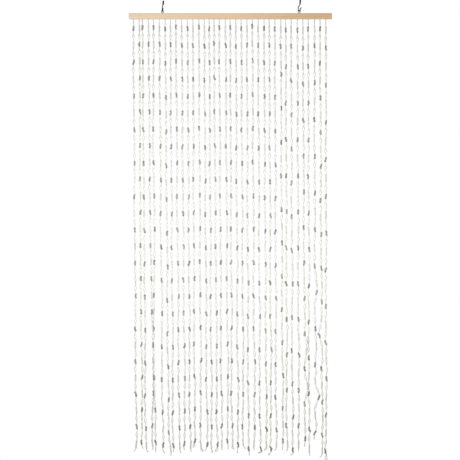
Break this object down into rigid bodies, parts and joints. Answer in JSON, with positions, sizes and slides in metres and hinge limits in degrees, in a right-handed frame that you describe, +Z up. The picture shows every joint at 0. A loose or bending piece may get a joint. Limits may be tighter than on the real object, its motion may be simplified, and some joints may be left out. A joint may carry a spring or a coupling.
{
  "type": "bamboo bead door curtain with a wooden batten and screw hooks",
  "caption": "Door curtain of bamboo and wooden bead strands below a pale wooden batten, hung from two black screw hooks in screw eyes.",
  "frame": {"origin": "centre of the batten's flat back face", "axes": "+Z up, +X to the right as seen from the front, and the front looks along -Y"},
  "size_m": [0.9, 0.0414, 2.0459],
  "materials": {
    "pale_wood": "planed, matt",
    "bead_strand": "satin beads on cord",
    "black_steel": "black, half gloss"
  },
  "bodies": {
    "root": {"batten": "pale_wood", "strands": "bead_strand", "hook_left": "black_steel", "hook_right": "black_steel", "eye_left": "black_steel", "eye_right": "black_steel"}
  },
  "joints": []
}
